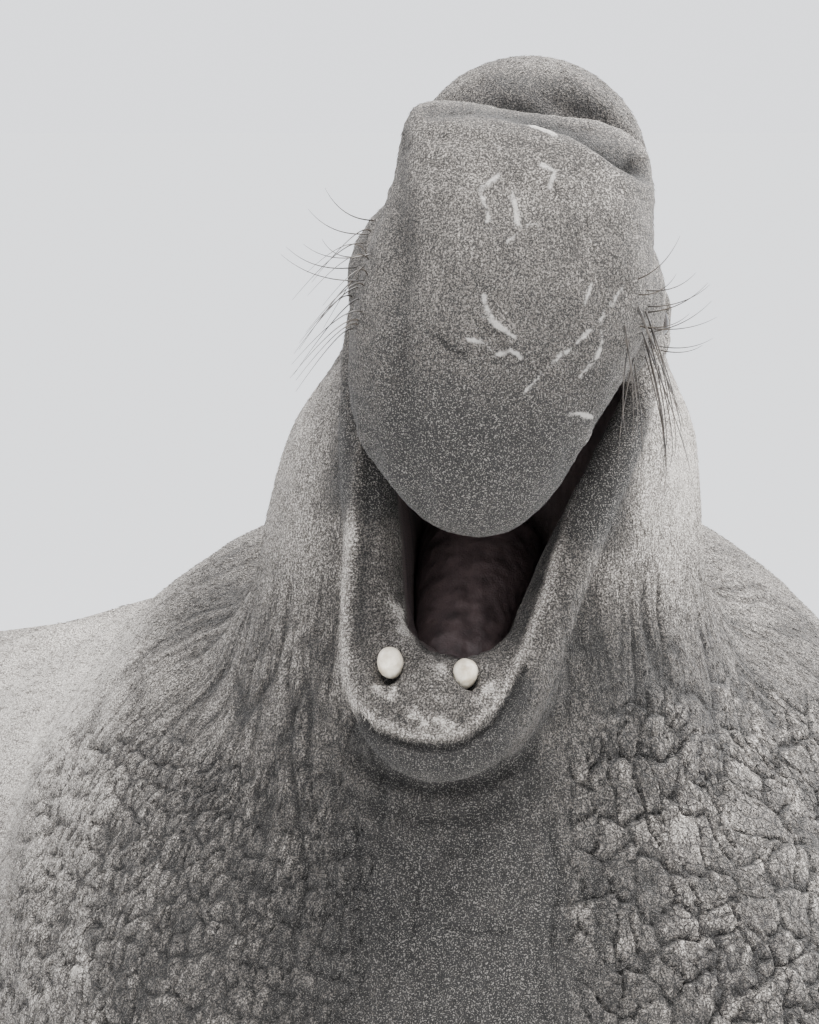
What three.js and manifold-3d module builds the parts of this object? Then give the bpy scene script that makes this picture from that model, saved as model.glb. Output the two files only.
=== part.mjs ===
// A bull elephant seal at life size, chest raised, head thrown back and mouth wide open.
// Millimetres, +Z up. The face looks along -Y. The trunk trails away along +Y and swings towards -X.
import * as THREE from "three";
import { LoftGeometry } from "three/addons/geometries/LoftGeometry.js";
import { mergeVertices } from "three/addons/utils/BufferGeometryUtils.js";
import Module from "manifold-3d";

const wasm = await Module();
wasm.setup();

const degrees = THREE.MathUtils.degToRad;
const smoothstep = THREE.MathUtils.smoothstep;

// Driving dimensions
const GAP = 0.3; // clearance between neighbouring pieces
const TRUNK_TURN = degrees(37); // how far the trunk swings from the line of the gaze
const TAIL_TURN = degrees(14); // and how far the hind end still does
const HEAD_PLACE = new THREE.Vector3(5, 0, 1115); // middle of the gape, level with the corners of the mouth
const HEAD_ROLL = degrees(8);
const HEAD_YAW = degrees(-5);
const EYE_RADIUS = 25;
const BODY_SIDES = 32;
const HEAD_SIDES = 22;

const SKIN = new THREE.MeshStandardMaterial({ color: 0x746c64, roughness: 0.85, metalness: 0 });
const NOSE = new THREE.MeshStandardMaterial({ color: 0x5d5650, roughness: 0.8, metalness: 0 });
const MOUTH = new THREE.MeshStandardMaterial({ color: 0x4a3433, roughness: 0.45, metalness: 0 });
const TOOTH = new THREE.MeshStandardMaterial({ color: 0xe8e2d2, roughness: 0.35, metalness: 0 });
const EYE = new THREE.MeshStandardMaterial({ color: 0x0c0a09, roughness: 0.08, metalness: 0 });

// Solids and booleans

function solidOf(geometry) {
  const bare = new THREE.BufferGeometry();
  bare.setAttribute("position", geometry.getAttribute("position"));
  bare.setIndex(geometry.index);
  const merged = mergeVertices(bare, 1e-3);
  const positions = merged.getAttribute("position").array;
  const corners = merged.index.array;
  const triVerts = [];
  for (let i = 0; i < corners.length; i += 3) {
    const [a, b, c] = [corners[i], corners[i + 1], corners[i + 2]];
    if (a !== b && b !== c && c !== a) triVerts.push(a, b, c);
  }
  const faces = new Uint32Array(triVerts);
  const solid = new wasm.Manifold(
    new wasm.Mesh({ numProp: 3, vertProperties: positions, triVerts: faces }),
  );
  if (solid.volume() > 0) return solid;
  for (let i = 0; i < faces.length; i += 3) {
    const swap = faces[i + 1];
    faces[i + 1] = faces[i + 2];
    faces[i + 2] = swap;
  }
  return new wasm.Manifold(
    new wasm.Mesh({ numProp: 3, vertProperties: positions, triVerts: faces }),
  );
}

const join = (...solids) => solids.reduce((whole, piece) => whole.add(piece));
const cut = (solid, ...tools) => tools.reduce((left, tool) => left.subtract(tool), solid);

// The largest closed surface of a solid, which drops loose scraps and sealed hollows.
function largest(solid) {
  const bodies = solid.decompose().filter((body) => body.volume() > 0);
  return bodies.reduce((best, body) => (body.volume() > best.volume() ? body : best));
}

const root = new THREE.Group();

function meshOf(solid, material) {
  const { vertProperties, triVerts } = solid.getMesh();
  const geometry = new THREE.BufferGeometry();
  geometry.setAttribute("position", new THREE.BufferAttribute(vertProperties, 3));
  geometry.setIndex(new THREE.BufferAttribute(triVerts, 1));
  return new THREE.Mesh(geometry, material);
}

function addPiece(name, solid, material) {
  const mesh = meshOf(largest(solid), material);
  mesh.name = name;
  root.add(mesh);
}

// Where a straight line out of a solid, from a point inside it, leaves its surface.
function surfacePoint(solid, inside, way) {
  const mesh = meshOf(solid, new THREE.MeshBasicMaterial({ side: THREE.DoubleSide }));
  const hits = new THREE.Raycaster(inside, way).intersectObject(mesh);
  return hits[hits.length - 1].point;
}

// Sections and lofts


// One closed section: a squared ellipse in the plane of two axes, wider below by the given sag.
function section({ centre, up, side, high, wide, square = 2, sag = 0 }, sides, grow) {
  const points = [];
  for (let j = 0; j < sides; j++) {
    const angle = (j / sides) * 2 * Math.PI;
    const power = 2 / square;
    const along = Math.sign(Math.cos(angle)) * Math.abs(Math.cos(angle)) ** power;
    const across = Math.sign(Math.sin(angle)) * Math.abs(Math.sin(angle)) ** power;
    points.push(
      centre
        .clone()
        .addScaledVector(up, (high + grow) * along)
        .addScaledVector(side, (wide + grow) * across * (1 - sag * along)),
    );
  }
  return points;
}

// A closed loft, whichever way round its sections are wound.
function loftOf(sections) {
  const [first, second] = sections;
  const quarter = Math.floor(first.length / 4);
  const across = new THREE.Vector3().subVectors(first[0], first[2 * quarter]);
  const beside = new THREE.Vector3().subVectors(first[quarter], first[3 * quarter]);
  const ahead = new THREE.Vector3().subVectors(second[0], first[0]);
  ahead.add(second[2 * quarter]).sub(first[2 * quarter]);
  const forward = across.cross(beside).dot(ahead) > 0;
  const wound = forward ? sections : sections.map((points) => [...points].reverse());
  return solidOf(new LoftGeometry(wound, { capStart: true, capEnd: true }));
}

// A smooth curve through one or more values that each stop of a list names.
function track(stops, ...keys) {
  const curve = new THREE.CatmullRomCurve3(
    stops.map((stop) => new THREE.Vector3(...keys.map((key) => stop[key] ?? 0))),
    false,
    "catmullrom",
    0.5,
  );
  return (share) => curve.getPoint(THREE.MathUtils.clamp(share, 0, 1));
}

// The trunk, neck and back of the head as one tube.
// Each ring of the body runs from the throat-and-belly line to the nape-and-back line.
const BODY = [
  { at: "crown", bellyY: -2, bellyZ: 1326, backY: 48, backZ: 1332, half: 26, square: 2, lean: 34 },
  { at: "forehead", bellyY: -72, bellyZ: 1288, backY: 168, backZ: 1312, half: 112, square: 2, lean: 30 },
  { at: "eyes", bellyY: -104, bellyZ: 1235, backY: 238, backZ: 1270, half: 148, square: 2, lean: 24 },
  { at: "cheeks", bellyY: -116, bellyZ: 1178, backY: 274, backZ: 1222, half: 170, square: 2, lean: 17 },
  { at: "gape", bellyY: -114, bellyZ: 1112, backY: 294, backZ: 1172, half: 203, square: 2, lean: 10 },
  { at: "jaw angle", bellyY: -108, bellyZ: 1030, backY: 306, backZ: 1124, half: 217, square: 2, lean: 3 },
  { at: "upper throat", bellyY: -112, bellyZ: 930, backY: 322, backZ: 1092, half: 226, square: 2, lean: -2 },
  { at: "throat", bellyY: -132, bellyZ: 812, backY: 350, backZ: 1072, half: 238, square: 2.1, lean: -4 },
  { at: "neck", bellyY: -166, bellyZ: 672, backY: 396, backZ: 1066, half: 274, square: 2.1, lean: -4 },
  { at: "neck base", bellyY: -200, bellyZ: 510, backY: 440, backZ: 1064, half: 346, square: 2.4, lean: -2 },
  { at: "breast", bellyY: -200, bellyZ: 335, backY: 540, backZ: 1056, half: 428, square: 2.35, lean: 0 },
  { at: "shoulders", bellyY: -118, bellyZ: 160, backY: 660, backZ: 1022, half: 492, square: 2.2, lean: 0 },
  { at: "withers", bellyY: 60, bellyZ: 42, backY: 800, backZ: 970, half: 536, square: 2.15, lean: 0 },
  { at: "flippers", bellyY: 340, bellyZ: -10, backY: 960, backZ: 920, half: 558, square: 2.2, lean: 0 },
  { at: "ribs", bellyY: 720, bellyZ: -22, backY: 1170, backZ: 862, half: 564, square: 2.2, lean: 0 },
  { at: "waist", bellyY: 1170, bellyZ: -22, backY: 1440, backZ: 806, half: 540, square: 2.2, lean: 0 },
  { at: "loin", bellyY: 1640, bellyZ: -20, backY: 1780, backZ: 724, half: 482, square: 2.2, lean: 0 },
  { at: "hips", bellyY: 2080, bellyZ: -18, backY: 2130, backZ: 622, half: 404, square: 2.2, lean: 0 },
  { at: "rump", bellyY: 2470, bellyZ: -14, backY: 2460, backZ: 506, half: 318, square: 2.1, lean: 0 },
  { at: "tail root", bellyY: 2800, bellyZ: -10, backY: 2770, backZ: 386, half: 232, square: 2.1, lean: 0 },
  { at: "ankles", bellyY: 3050, bellyZ: -4, backY: 3020, backZ: 280, half: 164, square: 2.1, lean: 0 },
  { at: "tail", bellyY: 3190, bellyZ: 34, backY: 3180, backZ: 196, half: 104, square: 2, lean: 0 },
];
const BODY_STEPS = BODY.length - 1;
const bellyLine = track(BODY, "bellyY", "bellyZ");
const backLine = track(BODY, "backY", "backZ");
const bodySize = track(BODY, "half", "square", "lean");
const shareOf = (name) => BODY.findIndex((ring) => ring.at === name) / BODY_STEPS;

// The heading swings to the side behind the shoulders and part of the way back at the hind end.
function headingAt(y) {
  const swing = smoothstep(y, 150, 900);
  const recovery = smoothstep(y, 1900, 3000);
  return TRUNK_TURN * swing - (TRUNK_TURN - TAIL_TURN) * recovery;
}

function swingAt(y) {
  const step = 20;
  let x = 0;
  for (let at = 0; at < y; at += step) x -= Math.tan(headingAt(at)) * Math.min(step, y - at);
  return x;
}

// Creases that ring the nape where the head is thrown back, and one under the chin.
const NAPE_FOLDS = { from: shareOf("gape"), to: shareOf("neck base"), count: 5, deep: 16 };
const BODY_SAG = 0.1;

function bodySection(share, { grow = 0, shift = 0 } = {}) {
  const belly = bellyLine(share);
  const back = backLine(share);
  const size = bodySize(share);
  const middleY = (belly.x + back.x) / 2;
  const heading = headingAt(middleY);
  const side = new THREE.Vector3(Math.cos(heading), Math.sin(heading), 0);
  const lean = (back.x - belly.x) / 2;
  const rise = (back.y - belly.y) / 2;
  const high = Math.hypot(lean, rise);
  const up = new THREE.Vector3(-Math.sin(heading) * lean, Math.cos(heading) * lean, rise);
  up.normalize();
  const centre = new THREE.Vector3(swingAt(middleY) + size.z, middleY, (belly.y + back.y) / 2);
  const along = new THREE.Vector3().crossVectors(up, side);
  centre.addScaledVector(along, shift);
  const lying = smoothstep(share, shareOf("breast"), shareOf("ribs"));
  const points = section(
    { centre, up, side, high, wide: size.x, square: size.y, sag: BODY_SAG * lying },
    BODY_SIDES,
    grow,
  );
  const phase = (share - NAPE_FOLDS.from) / (NAPE_FOLDS.to - NAPE_FOLDS.from);
  if (phase > 0 && phase < 1) {
    const groove = Math.abs(Math.cos(Math.PI * NAPE_FOLDS.count * phase)) ** 3;
    points.forEach((point, j) => {
      const dorsal = Math.max(0, Math.cos((j / BODY_SIDES) * 2 * Math.PI));
      const depth = NAPE_FOLDS.deep * groove * dorsal * Math.sin(Math.PI * phase);
      point.addScaledVector(point.clone().sub(centre).normalize(), -depth);
    });
  }
  return points;
}

// A length of the body between two named rings, with its flat ends half a gap inside them.
// With room it is that much larger all round, for clearing its place out of a neighbour.
function bodyLength(from, to, rings, room = 0) {
  const [start, end] = [shareOf(from), shareOf(to)];
  const inset = GAP / 2 - room;
  const sections = [];
  for (let i = 0; i <= rings; i++) {
    const share = start + ((end - start) * i) / rings;
    const shift = i === 0 ? inset : i === rings ? -inset : 0;
    sections.push(bodySection(share, { shift, grow: room }));
  }
  return loftOf(sections);
}

const onFloor = (solid) => solid.trimByPlane([0, 0, 1], 0);

// The head's own frame
// r runs to the animal's left, f forward out of the mouth and u up, all from the middle of the gape.
const headFrame = new THREE.Matrix4()
  .makeTranslation(HEAD_PLACE.x, HEAD_PLACE.y, HEAD_PLACE.z)
  .multiply(new THREE.Matrix4().makeRotationZ(HEAD_YAW))
  .multiply(new THREE.Matrix4().makeRotationY(HEAD_ROLL));
const headPoint = (r, f, u) => new THREE.Vector3(r, -f, u).applyMatrix4(headFrame);
const headWay = (r, f, u) => new THREE.Vector3(r, -f, u).transformDirection(headFrame);

// A loft along a path in the middle plane of the head, with sections square to that path.
function headLoft(stops, rings, { grow = 0, sides = HEAD_SIDES, shape = null } = {}) {
  const path = track(stops, "f", "u", "r");
  const size = track(stops, "high", "wide", "square");
  const sections = [];
  for (let i = 0; i <= rings; i++) {
    const share = i / rings;
    const at = path(share);
    const ahead = path(Math.min(1, share + 0.01)).sub(path(Math.max(0, share - 0.01)));
    const run = Math.hypot(ahead.x, ahead.y);
    const up = headWay(0, -ahead.y / run, ahead.x / run);
    const values = size(share);
    const shift = (i === 0 ? -grow : i === rings ? grow : 0) / run;
    const points = section(
      {
        centre: headPoint(at.z, at.x + ahead.x * shift, at.y + ahead.y * shift),
        up,
        side: headWay(1, 0, 0),
        high: Math.max(values.x, 1),
        wide: Math.max(values.y, 1),
        square: values.z || 2,
      },
      sides,
      grow,
    );
    sections.push(shape ? shape(points, share) : points);
  }
  return loftOf(sections);
}

// An ellipsoid in the head's frame, tipped about the side-to-side axis.
function headEgg({ r = 0, f, u, wide, deep, high, tip = 0 }, grow = 0, detail = [16, 10]) {
  const egg = new THREE.SphereGeometry(1, ...detail);
  egg.rotateX(Math.PI / 2);
  egg.scale(wide + grow, deep + grow, high + grow);
  egg.rotateX(degrees(tip));
  egg.translate(r, -f, u);
  egg.applyMatrix4(headFrame);
  return solidOf(egg);
}

// Snout: the upper jaw, rising at about 45 degrees from the skull to the whisker pads.
const SNOUT = [
  { f: -150, u: 20, high: 120, wide: 146, square: 2 },
  { f: -70, u: 92, high: 128, wide: 152, square: 2 },
  { f: 0, u: 150, high: 122, wide: 148, square: 2 },
  { f: 60, u: 196, high: 104, wide: 142, square: 2 },
  { f: 104, u: 226, high: 78, wide: 116, square: 2 },
  { f: 132, u: 244, high: 40, wide: 66, square: 2 },
];
const BROW = { f: -80, u: 190, wide: 122, deep: 150, high: 112, tip: -24 };

// Proboscis: a hump that stands over the snout, and the long lobe that hangs from it into the mouth.
const NOSE_HUMP = { f: 8, u: 292, wide: 120, deep: 104, high: 111, tip: 0 };
const NOSE_LOBE = [
  { f: 104, u: 344, r: -8, high: 28, wide: 84, square: 2.2 },
  { f: 105, u: 338, r: -6, high: 52, wide: 108, square: 2.3 },
  { f: 109, u: 320, r: 2, high: 74, wide: 124, square: 2.5 },
  { f: 121, u: 286, r: 6, high: 90, wide: 131, square: 2.5 },
  { f: 138, u: 238, r: 6, high: 101, wide: 132, square: 2.4 },
  { f: 154, u: 176, r: 4, high: 104, wide: 142, square: 2.3 },
  { f: 164, u: 112, r: -2, high: 102, wide: 138, square: 2.3 },
  { f: 170, u: 50, r: -10, high: 96, wide: 122, square: 2.2 },
  { f: 170, u: 0, r: -10, high: 84, wide: 100, square: 2.1 },
  { f: 165, u: -38, r: -6, high: 64, wide: 72, square: 2.1 },
  { f: 159, u: -60, r: 0, high: 38, wide: 42, square: 2 },
  { f: 157, u: -68, r: 2, high: 10, wide: 12, square: 2 },
];
const noseSolid = (grow) =>
  join(headEgg(NOSE_HUMP, grow, [20, 12]), headLoft(NOSE_LOBE, 18, { grow }));
const NOSTRIL = { r: 30, f: 122, u: -52, wide: 11, deep: 26, high: 30, tip: 35 };

// Whisker pads, one each side of the upper lip.
const PAD = { r: 112, f: 76, u: 168, wide: 46, deep: 66, high: 80, tip: -14 };

// Lower jaw, hanging open, from the angle of the jaw to the chin.
const JAW = [
  { f: -70, u: -70, high: 62, wide: 92, square: 2 },
  { f: 0, u: -120, high: 76, wide: 106, square: 2.2 },
  { f: 66, u: -172, high: 80, wide: 112, square: 2.3 },
  { f: 124, u: -216, high: 76, wide: 107, square: 2.3 },
  { f: 170, u: -246, high: 64, wide: 90, square: 2.3 },
  { f: 200, u: -268, high: 46, wide: 62, square: 2.1 },
  { f: 216, u: -283, high: 20, wide: 26, square: 2 },
];

// The open mouth seen from the front.
// These are half widths up one side of it, from the gum behind the canines to the palate.
const MOUTH_EDGE = [
  { u: -194, half: 0 },
  { u: -186, half: 32 },
  { u: -160, half: 52 },
  { u: -90, half: 68 },
  { u: -30, half: 90 },
  { u: 30, half: 118 },
  { u: 76, half: 132 },
  { u: 108, half: 104 },
  { u: 122, half: 52 },
  { u: 126, half: 0 },
];
const MOUTH_BACK = -120;
const MOUTH_FRONT = 330;

function mouthHollow(grow = 0) {
  const right = MOUTH_EDGE.map(({ half, u }) => new THREE.Vector2(half + grow, u));
  const left = MOUTH_EDGE.slice(1, -1).map(({ half, u }) => new THREE.Vector2(-half - grow, u));
  const shape = new THREE.Shape(
    new THREE.SplineCurve([...right, ...left.reverse(), right[0]]).getPoints(40),
  );
  const depth = MOUTH_FRONT - MOUTH_BACK;
  const hollow = new THREE.ExtrudeGeometry(shape, { depth, bevelEnabled: false, steps: 1 });
  hollow.rotateX(Math.PI / 2);
  hollow.translate(0, -MOUTH_BACK, 0);
  hollow.applyMatrix4(headFrame);
  return solidOf(hollow);
}

const TONGUE = [
  { f: -105, u: -96, high: 50, wide: 66, square: 2 },
  { f: -40, u: -130, high: 48, wide: 62, square: 2 },
  { f: 24, u: -170, high: 40, wide: 52, square: 2 },
  { f: 78, u: -200, high: 28, wide: 42, square: 2 },
  { f: 108, u: -214, high: 14, wide: 26, square: 2 },
];

// The lip rim: a soft roll from behind one whisker pad, round the gape and under the gum, to the other.
const LIP = [
  { r: 150, f: 10, u: 132, thick: 12 },
  { r: 145, f: 30, u: 92, thick: 19 },
  { r: 129, f: 66, u: 26, thick: 23 },
  { r: 112, f: 88, u: -44, thick: 25 },
  { r: 99, f: 114, u: -108, thick: 26 },
  { r: 88, f: 146, u: -166, thick: 26 },
  { r: 73, f: 178, u: -226, thick: 26 },
  { r: 46, f: 200, u: -270, thick: 25 },
  { r: 0, f: 208, u: -292, thick: 24 },
];

function lipSolid(grow) {
  const other = LIP.slice(0, -1).map((stop) => ({ ...stop, r: -stop.r }));
  const stops = [...LIP, ...other.reverse()];
  const line = new THREE.CatmullRomCurve3(stops.map(({ r, f, u }) => headPoint(r, f, u)));
  const thickness = track(stops, "thick");
  const rings = 34;
  const { tangents, normals, binormals } = line.computeFrenetFrames(rings);
  const sections = normals.map((normal, i) => {
    const shift = i === 0 ? -grow : i === rings ? grow : 0;
    const radius = thickness(i / rings).x;
    return section(
      {
        centre: line.getPointAt(i / rings).addScaledVector(tangents[i], shift),
        up: normal,
        side: binormals[i],
        high: radius,
        wide: radius,
      },
      10,
      grow,
    );
  });
  return loftOf(sections);
}

const CANINE = { length: 54, root: 13, tip: 9.5, spread: 38, off: -16, f: 201, u: -209 };
const CANINE_TILT = degrees(130);
const CANINE_SPLAY = degrees(9);

// A blunt worn cone that stands out of the gum, leaning forward and outward.
function canine(hand, grow = 0) {
  const profile = [
    [0, -CANINE.length / 2],
    [CANINE.root + grow, -CANINE.length / 2],
    [CANINE.root + 1 + grow, 0],
    [(CANINE.root + CANINE.tip) / 2 + grow, CANINE.length * 0.32],
    [CANINE.tip * 0.62 + grow, CANINE.length * 0.45],
    [0, CANINE.length / 2 + grow],
  ].map(([x, y]) => new THREE.Vector2(x, y));
  const tooth = new THREE.LatheGeometry(profile, 14);
  tooth.rotateZ(-hand * CANINE_SPLAY);
  tooth.rotateX(CANINE_TILT);
  tooth.translate(CANINE.off + hand * CANINE.spread, -CANINE.f, CANINE.u);
  tooth.applyMatrix4(headFrame);
  return solidOf(tooth);
}

// Eyes, lids and ear openings
// Each eye looks out sideways, a little forward and up, and lies with most of its ball in the head.
// The lids are one rim round it, sized as shares of the eye's radius.
const EYE_PLACE = { f: -56, u: 158, sunk: 0.84 };
const LIDS = { reach: 0.92, thick: 0.36, long: 1.16, narrow: 0.86, flat: 0.9, out: 0.4 };
const eyeWay = (hand) => headWay(hand * 0.86, 0.42, 0.28);
const eyeCentres = new Map();
const eyeCentre = (hand) => eyeCentres.get(hand).clone();

function setEyes(skull) {
  for (const hand of [1, -1]) {
    const inside = headPoint(0, EYE_PLACE.f, EYE_PLACE.u);
    const point = surfacePoint(skull, inside, headWay(hand, 0, 0));
    eyeCentres.set(hand, point.addScaledVector(eyeWay(hand), -EYE_RADIUS * EYE_PLACE.sunk));
  }
}

function eyeball(hand, grow = 0) {
  const ball = new THREE.SphereGeometry(EYE_RADIUS + grow, 16, 10);
  const place = eyeCentre(hand);
  ball.translate(place.x, place.y, place.z);
  return solidOf(ball);
}

function eyelids(hand) {
  const ring = new THREE.TorusGeometry(EYE_RADIUS * LIDS.reach, EYE_RADIUS * LIDS.thick, 6, 16);
  ring.scale(LIDS.long, LIDS.narrow, LIDS.flat);
  ring.applyQuaternion(
    new THREE.Quaternion().setFromUnitVectors(new THREE.Vector3(0, 0, 1), eyeWay(hand)),
  );
  const place = eyeCentre(hand).addScaledVector(eyeWay(hand), EYE_RADIUS * LIDS.out);
  ring.translate(place.x, place.y, place.z);
  return solidOf(ring);
}

const BROW_BED = { r: 112, f: -70, u: 152, wide: 42, deep: 58, high: 52, tip: 20 };
const EAR_PIT = { r: 186, f: -128, u: 96, wide: 18, deep: 7, high: 9 };
const onSide = (hand, egg) => ({ ...egg, r: hand * egg.r });

// Flippers
// A digit is a flattened finger from its root to its tip in the flipper's own plane, with its nail.
function digit({ root: from, tip, thick, wide }, frame, rings, sides) {
  const line = new THREE.Vector3().subVectors(tip, from);
  const side = new THREE.Vector3(-line.y, line.x, 0).normalize();
  const sections = [];
  for (let i = 0; i <= rings; i++) {
    const share = i / rings;
    const taper = Math.sqrt(Math.max(0.02, 1 - share ** 3.2)) * (1 - 0.28 * share);
    const centre = from.clone().addScaledVector(line, share);
    sections.push(
      section(
        {
          centre,
          up: new THREE.Vector3(0, 0, 1),
          side,
          high: thick * taper * (1 - 0.4 * share),
          wide: wide * taper,
        },
        sides,
        0,
      ).map((point) => point.applyMatrix4(frame)),
    );
  }
  return loftOf(sections);
}

const NAIL = { length: 62, radius: 13, flat: 0.62, out: 7, raise: 7 };

function nail(tip, away, frame) {
  const cone = new THREE.ConeGeometry(NAIL.radius, NAIL.length, 7);
  cone.rotateZ(Math.atan2(away.y, away.x) - Math.PI / 2);
  cone.scale(1, 1, NAIL.flat);
  cone.translate(tip.x + away.x * NAIL.out, tip.y + away.y * NAIL.out, tip.z + NAIL.raise);
  cone.applyMatrix4(frame);
  return solidOf(cone);
}

// A fan of digits with a web between them. Angles are from the flipper's long axis, +x.
function flipper({ spans, roots, thick, wide, web, nails, arm }, frame) {
  const pieces = [];
  spans.forEach(({ angle, reach }) => {
    const way = new THREE.Vector3(Math.cos(angle), Math.sin(angle), 0);
    const tip = roots.clone().addScaledVector(way, reach);
    pieces.push(digit({ root: roots, tip, thick, wide }, frame, 4, 8));
    if (nails) pieces.push(nail(tip, way, frame));
  });
  const rim = spans.map(({ angle, reach }) =>
    new THREE.Vector2(roots.x + Math.cos(angle) * reach * web.reach,
      roots.y + Math.sin(angle) * reach * web.reach));
  const start = new THREE.Vector2(roots.x, roots.y);
  const outline = new THREE.Shape([start, ...new THREE.SplineCurve(rim).getPoints(10)]);
  const sheet = new THREE.ExtrudeGeometry(outline, { depth: web.thick, bevelEnabled: false });
  sheet.translate(0, 0, -web.thick / 2);
  sheet.applyMatrix4(frame);
  pieces.push(solidOf(sheet));
  const sections = arm.map(({ x, y, z, high, across }) =>
    section(
      {
        centre: new THREE.Vector3(x, y, z),
        up: new THREE.Vector3(0, 0, 1),
        side: new THREE.Vector3(0, 1, 0),
        high,
        wide: across,
      },
      12,
      0,
    ).map((point) => point.applyMatrix4(frame)),
  );
  pieces.push(loftOf(sections));
  return join(...pieces);
}

// Fore flippers are planted flat beside the chest, with the fingers turned out and back.
const FORE_SPANS = [
  { angle: degrees(-30), reach: 330 },
  { angle: degrees(-14), reach: 322 },
  { angle: degrees(2), reach: 296 },
  { angle: degrees(18), reach: 262 },
  { angle: degrees(34), reach: 226 },
];
const FORE_SWEEP = 0.5;
const FORE_HEIGHT = 34;

function foreFlipper(hand) {
  const share = shareOf("flippers") - 0.35 / BODY_STEPS;
  const ring = bodySection(share);
  const root = ring[Math.round(BODY_SIDES * (hand > 0 ? 0.34 : 0.66))];
  const turn = headingAt(root.y) + hand * FORE_SWEEP + (hand > 0 ? 0 : Math.PI);
  const frame = new THREE.Matrix4()
    .makeTranslation(root.x, root.y, FORE_HEIGHT)
    .multiply(new THREE.Matrix4().makeRotationZ(turn))
    .multiply(new THREE.Matrix4().makeScale(1, hand, 1));
  return flipper(
    {
      spans: FORE_SPANS,
      roots: new THREE.Vector3(70, 0, 0),
      thick: 34,
      wide: 46,
      web: { reach: 0.9, thick: 20 },
      nails: true,
      arm: [
        { x: -150, y: 10, z: 190, high: 120, across: 140 },
        { x: -60, y: 6, z: 150, high: 100, across: 130 },
        { x: 10, y: 2, z: 84, high: 74, across: 112 },
        { x: 80, y: 0, z: 20, high: 44, across: 100 },
        { x: 150, y: 0, z: 2, high: 26, across: 84 },
      ],
    },
    frame,
  );
}

// Hind flippers trail behind the tail. Their outer and inner digits are the longest.
const HIND_SPANS = [
  { angle: degrees(-22), reach: 520 },
  { angle: degrees(-11), reach: 420 },
  { angle: 0, reach: 372 },
  { angle: degrees(11), reach: 400 },
  { angle: degrees(22), reach: 490 },
];
const HIND = { y: 3090, z: 62, apart: 96, splay: 0.3, roll: 0.42, droop: 0.045 };

function hindFlipper(hand) {
  const turn = Math.PI / 2 + headingAt(HIND.y) - hand * HIND.splay;
  const frame = new THREE.Matrix4()
    .makeTranslation(swingAt(HIND.y), HIND.y, HIND.z)
    .multiply(new THREE.Matrix4().makeRotationZ(turn))
    .multiply(new THREE.Matrix4().makeTranslation(0, -hand * HIND.apart, 0))
    .multiply(new THREE.Matrix4().makeRotationX(hand * HIND.roll))
    .multiply(new THREE.Matrix4().makeRotationY(HIND.droop))
    .multiply(new THREE.Matrix4().makeScale(1, -hand, 1));
  return flipper(
    {
      spans: HIND_SPANS,
      roots: new THREE.Vector3(60, 0, 0),
      thick: 30,
      wide: 40,
      web: { reach: 0.93, thick: 18 },
      nails: false,
      arm: [
        { x: -130, y: -20, z: 20, high: 86, across: 92 },
        { x: -20, y: -8, z: 10, high: 72, across: 92 },
        { x: 80, y: 0, z: 2, high: 48, across: 88 },
        { x: 190, y: 0, z: 0, high: 26, across: 84 },
      ],
    },
    frame,
  );
}

// Assembly
const nose = noseSolid(0);
const noseRoom = noseSolid(GAP);
const hollow = mouthHollow();
const jawRoom = headLoft(JAW, 8, { grow: GAP });
const lips = lipSolid(0);
const lipRoom = lipSolid(GAP);
const tongueSolid = headLoft(TONGUE, 8, { sides: 16 });
const tongueRoom = headLoft(TONGUE, 8, { sides: 16, grow: GAP });
const hands = [
  { name: "left", hand: 1 },
  { name: "right", hand: -1 },
];

const crown = bodyLength("crown", "upper throat", 12);
let head = join(crown, headLoft(SNOUT, 7), headEgg(BROW));
for (const { hand } of hands) head = join(head, headEgg(onSide(hand, BROW_BED)));
setEyes(head);
for (const { hand } of hands) head = join(head, eyelids(hand));
head = cut(head, hollow, noseRoom, jawRoom, tongueRoom, lipRoom);
head = cut(head, bodyLength("upper throat", "neck base", 12, GAP));
for (const { hand } of hands) {
  const earPit = headEgg(onSide(hand, EAR_PIT), 0, [10, 8]);
  head = cut(head, eyeball(hand, GAP), headEgg(onSide(hand, PAD), GAP), earPit);
}
addPiece("head", head, SKIN);

let proboscis = nose;
for (const { hand } of hands) {
  proboscis = cut(proboscis, headEgg(onSide(hand, NOSTRIL), 0, [12, 10]));
}
addPiece("proboscis", proboscis, NOSE);

for (const { name, hand } of hands) {
  const pad = cut(headEgg(onSide(hand, PAD)), noseRoom, hollow);
  addPiece(`whisker_pad_${name}`, pad, NOSE);
  addPiece(`eye_${name}`, eyeball(hand), EYE);
}

const neck = cut(bodyLength("upper throat", "neck base", 12), hollow, jawRoom, tongueRoom, lipRoom);
addPiece("neck", neck, SKIN);

let jaw = cut(headLoft(JAW, 8), hollow, tongueRoom, lipRoom);
const canineRooms = hands.map(({ hand }) => canine(hand, GAP));
jaw = cut(jaw, ...canineRooms);
addPiece("lower_jaw", jaw, SKIN);
addPiece("lips", cut(lips, ...canineRooms), SKIN);
addPiece("tongue", tongueSolid, MOUTH);
for (const { name, hand } of hands) addPiece(`lower_canine_${name}`, canine(hand), TOOTH);

const LENGTHS = {
  chest: ["neck base", "flippers", 9],
  trunk: ["flippers", "loin", 8],
  hindquarters: ["loin", "ankles", 8],
  tail: ["ankles", "tail", 3],
};
const lengthRooms = Object.values(LENGTHS).map((ends) => bodyLength(...ends, GAP));

for (const { name, hand } of hands) {
  addPiece(`fore_flipper_${name}`, cut(onFloor(foreFlipper(hand)), ...lengthRooms), SKIN);
  addPiece(`hind_flipper_${name}`, cut(onFloor(hindFlipper(hand)), ...lengthRooms), SKIN);
}
for (const [name, ends] of Object.entries(LENGTHS)) {
  addPiece(name, onFloor(bodyLength(...ends)), SKIN);
}

// The origin is on the floor, under the middle of the whole animal.
const extent = new THREE.Box3().setFromObject(root);
const middle = extent.getCenter(new THREE.Vector3());
for (const mesh of root.children) mesh.geometry.translate(-middle.x, -middle.y, -extent.min.z);

export default root;
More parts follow.
